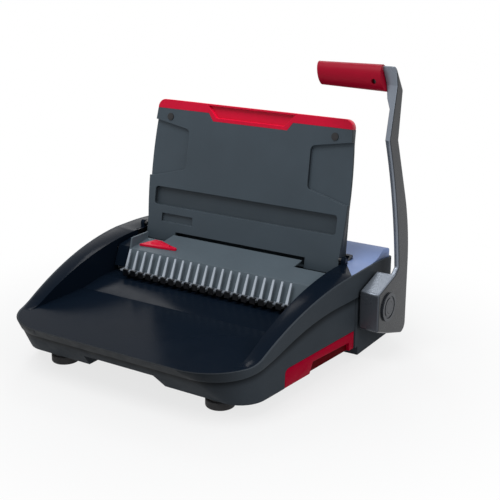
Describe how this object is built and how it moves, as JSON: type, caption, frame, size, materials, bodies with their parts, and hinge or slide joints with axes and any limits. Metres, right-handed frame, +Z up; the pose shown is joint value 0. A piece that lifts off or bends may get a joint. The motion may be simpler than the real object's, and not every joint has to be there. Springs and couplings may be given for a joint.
{
  "type": "comb binding machine",
  "caption": "Desktop comb binding machine: side lever drives a row of punch pins, hooks open a plastic comb on upright tines, hinged lid, paper tray and pull-out chip drawer",
  "frame": {"origin": "middle of the bounding box on the table surface under the feet", "axes": "+Z up, +X to the lever side, +Y to the rear, so the paper tray faces -Y"},
  "size_m": [0.4696, 0.416, 0.419],
  "materials": {
    "lower_shell": "satin",
    "satin_band": "satin",
    "gloss_tray": "gloss",
    "rear_shell": "satin",
    "pan": "matte",
    "rubber": "matte",
    "tower": "satin",
    "black_trim": "gloss",
    "tine_steel": "satin",
    "steel": "satin",
    "brass": "satin",
    "handle": "satin",
    "grip": "satin",
    "cap": "gloss",
    "red_drawer": "gloss",
    "red_trim": "satin",
    "lid": "satin"
  },
  "bodies": {
    "base": {"lower_housing": "lower_shell", "upper_housing": "satin_band", "tray_panel": "gloss_tray", "rear_cover": "rear_shell", "bottom_plate": "pan", "foot_front_left": "rubber", "foot_front_right": "rubber", "foot_rear_left": "rubber", "foot_rear_right": "rubber", "opener_tower": "tower", "tower_end": "gloss_tray", "tine_plate": "tine_steel", "die_plate": "steel", "guide_plate": "steel", "back_gauge": "steel", "side_frame_left": "steel", "side_frame_right": "steel", "shaft_bush_left": "brass", "shaft_bush_right": "brass", "hinge_lug_left": "gloss_tray", "hinge_lug_right": "gloss_tray", "drawer_rail_front": "pan", "drawer_rail_rear": "pan"},
    "handle": {"handle_arm": "handle", "handle_grip": "grip", "grip_screw": "black_trim", "hub_cap": "cap", "hub_bolt": "cap", "drive_shaft": "steel", "eccentric_left": "steel", "eccentric_right": "steel"},
    "punch": {"pressure_bar": "steel", "punch_pins": "steel", "yoke_left": "steel", "yoke_right": "steel"},
    "hooks": {"hook_rack": "black_trim"},
    "drawer": {"chip_tray": "pan", "drawer_front": "red_drawer"},
    "edge_guide": {"edge_guide_lever": "red_trim", "edge_guide_slide": "pan"},
    "lid": {"lid_panel": "lid", "lid_cover": "lid", "lid_trim": "red_trim", "lid_bumper_left": "rubber", "lid_bumper_right": "rubber", "lid_pin_left": "black_trim", "lid_pin_right": "black_trim"}
  },
  "joints": [
    {"name": "lever", "type": "hinge", "parent": "base", "child": "handle", "pos_m": [-0.01775, 0.1205, 0.078], "axis": [1, 0, 0], "range_deg": [-15, 75], "stiffness_Nm_per_rad": 4},
    {"name": "punch_stroke", "type": "slide", "parent": "base", "child": "punch", "axis": [0, 0, -1], "range_m": [-0.0026, 0.0123]},
    {"name": "hook_slide", "type": "slide", "parent": "base", "child": "hooks", "axis": [0, -1, 0], "range_m": [0, 0.022]},
    {"name": "drawer_slide", "type": "slide", "parent": "base", "child": "drawer", "axis": [1, 0, 0], "range_m": [0, 0.22]},
    {"name": "edge_guide_slide", "type": "slide", "parent": "base", "child": "edge_guide", "axis": [1, 0, 0], "range_m": [0, 0.016]},
    {"name": "lid_hinge", "type": "hinge", "parent": "base", "child": "lid", "pos_m": [-0.01775, 0.114, 0.137], "axis": [1, 0, 0], "range_deg": [0, 100.5]}
  ],
  "couplings": [
    {"joint": "punch_stroke", "follows": "lever", "m_per_rad": 0.0093012}
  ]
}
